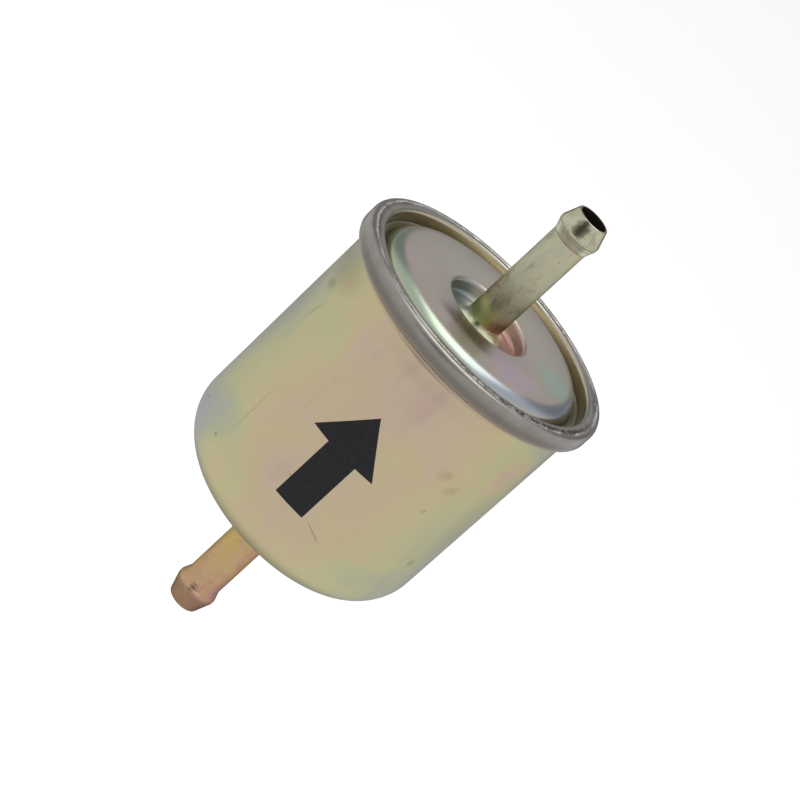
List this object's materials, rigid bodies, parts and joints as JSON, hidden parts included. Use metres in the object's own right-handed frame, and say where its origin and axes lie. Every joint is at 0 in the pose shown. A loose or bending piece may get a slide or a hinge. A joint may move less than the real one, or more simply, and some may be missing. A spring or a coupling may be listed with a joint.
{
  "type": "in-line fuel filter",
  "caption": "Sealed sheet-steel in-line fuel filter: round can with a double-seamed lid, a beaded hose pipe at each end and a pleated paper element inside.",
  "frame": {"origin": "on the filter's axis, halfway along the can's straight wall, between the bottom corner's bend and the crease under the seam", "axes": "+Z along the filter's axis towards the lid and the outlet pipe, -Z towards the inlet pipe; the shape is turned about Z, so X and Y are free"},
  "size_m": [0.0608, 0.0608, 0.1197],
  "materials": {
    "can_plate": "satin yellow-chromated zinc plate, faintly iridescent",
    "lid_plate": "satin yellow-chromated zinc plate, worn grey along the seam",
    "outlet_plate": "yellow-chromated zinc plate, green to straw",
    "inlet_plate": "yellow-chromated zinc plate, straw to rose",
    "braze": "plated braze, yellow-green",
    "sealing_compound": "matt",
    "filter_paper": "resin-cured creped paper",
    "bare_steel": "tin-plated sheet",
    "potting": "cured plastisol",
    "rubber": "moulded fuel-resistant rubber",
    "spring_steel": "drawn spring wire",
    "print_ink": "black screen-printing ink, satin"
  },
  "bodies": {
    "root": {"can": "can_plate", "lid": "lid_plate", "seam_compound": "sealing_compound", "outlet_pipe": "outlet_plate", "inlet_pipe": "inlet_plate", "outlet_braze": "braze", "inlet_braze": "braze", "pleated_paper": "filter_paper", "pleat_clip": "bare_steel", "centre_tube": "bare_steel", "upper_end_cap": "bare_steel", "lower_end_cap": "bare_steel", "upper_potting": "potting", "lower_potting": "potting", "outlet_grommet": "rubber", "support_spring": "spring_steel"}
  },
  "joints": []
}
